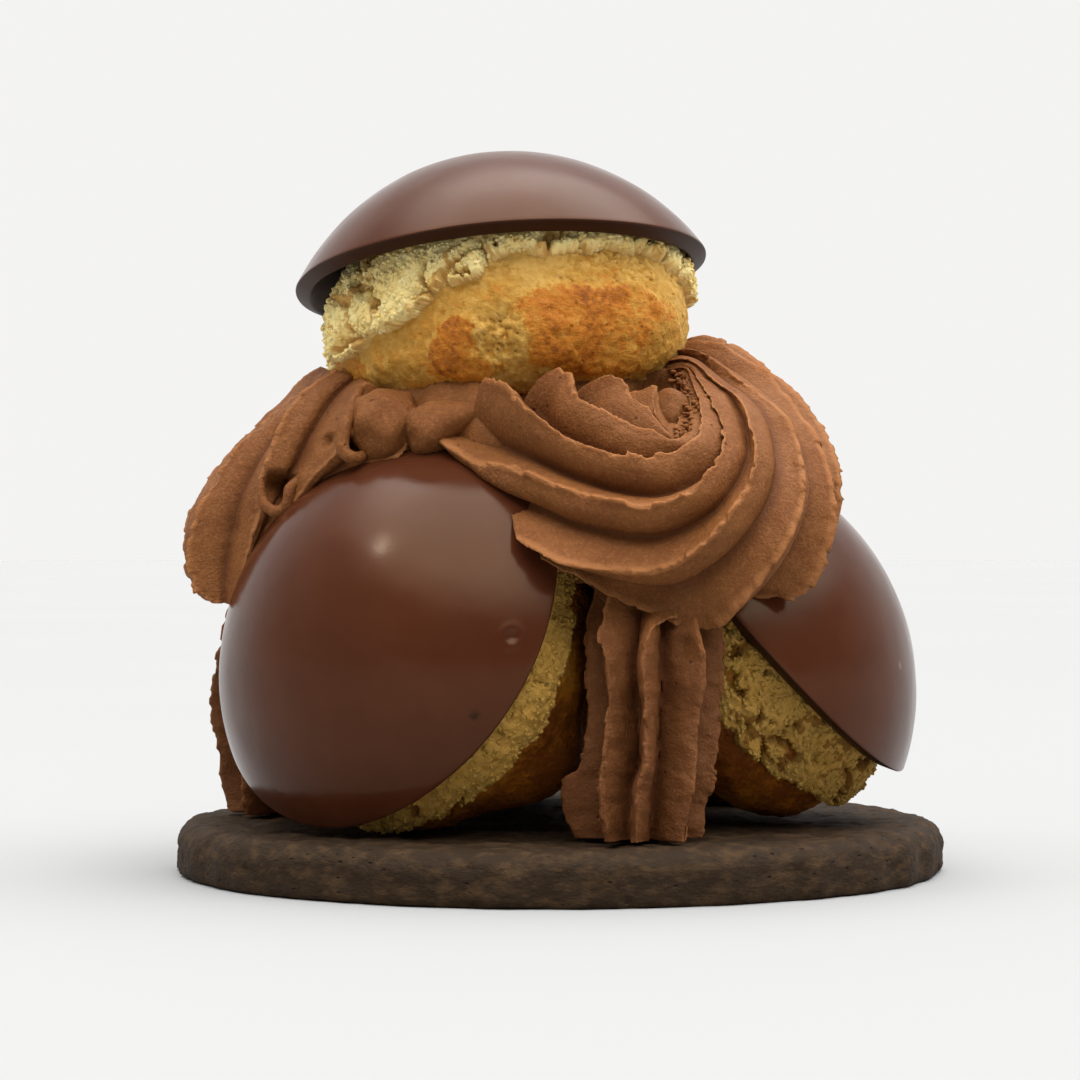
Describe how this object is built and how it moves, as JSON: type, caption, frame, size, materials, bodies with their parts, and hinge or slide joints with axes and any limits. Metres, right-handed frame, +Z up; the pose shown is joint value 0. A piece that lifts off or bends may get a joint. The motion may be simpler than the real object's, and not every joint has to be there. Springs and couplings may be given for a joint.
{
  "type": "saint-honore cake",
  "caption": "Single-portion chocolate saint-honore: biscuit base, ring of choux under domed chocolate shells with crumbly craquelin, star-piped cream between them and one chou on top.",
  "frame": {"origin": "centre of the base's flat underside, on the surface it stands on", "axes": "+Z up; -Y is the side the large front swirl and its column face; +X to the right seen from there"},
  "size_m": [0.0907, 0.0902, 0.0844],
  "materials": {
    "biscuit": "dark chocolate biscuit, dry, rough and finely pitted",
    "pastry": "baked choux pastry, golden with browner patches, faintly satin",
    "crust": "craquelin, pale yellow, cracked and crumbly, matte with a faint sugar sparkle",
    "shell": "moulded dark milk chocolate, smooth, satin gloss",
    "cream": "whipped milk-chocolate cream, fine grained, with small air pores and serrated ridges"
  },
  "bodies": {
    "root": {"base_biscuit": "biscuit", "shell_front_left": "shell", "craquelin_front_left": "crust", "chou_front_left": "pastry", "shell_right": "shell", "craquelin_right": "crust", "chou_right": "pastry", "shell_back_left": "shell", "craquelin_back_left": "crust", "chou_back_left": "pastry", "shell_top": "shell", "craquelin_top": "crust", "chou_top": "pastry", "cream_bed": "cream", "cream_column_front": "cream", "cream_column_left": "cream", "cream_column_back": "cream", "cream_rosette_front": "cream", "cream_rosette_left": "cream", "cream_rosette_back": "cream"}
  },
  "joints": []
}
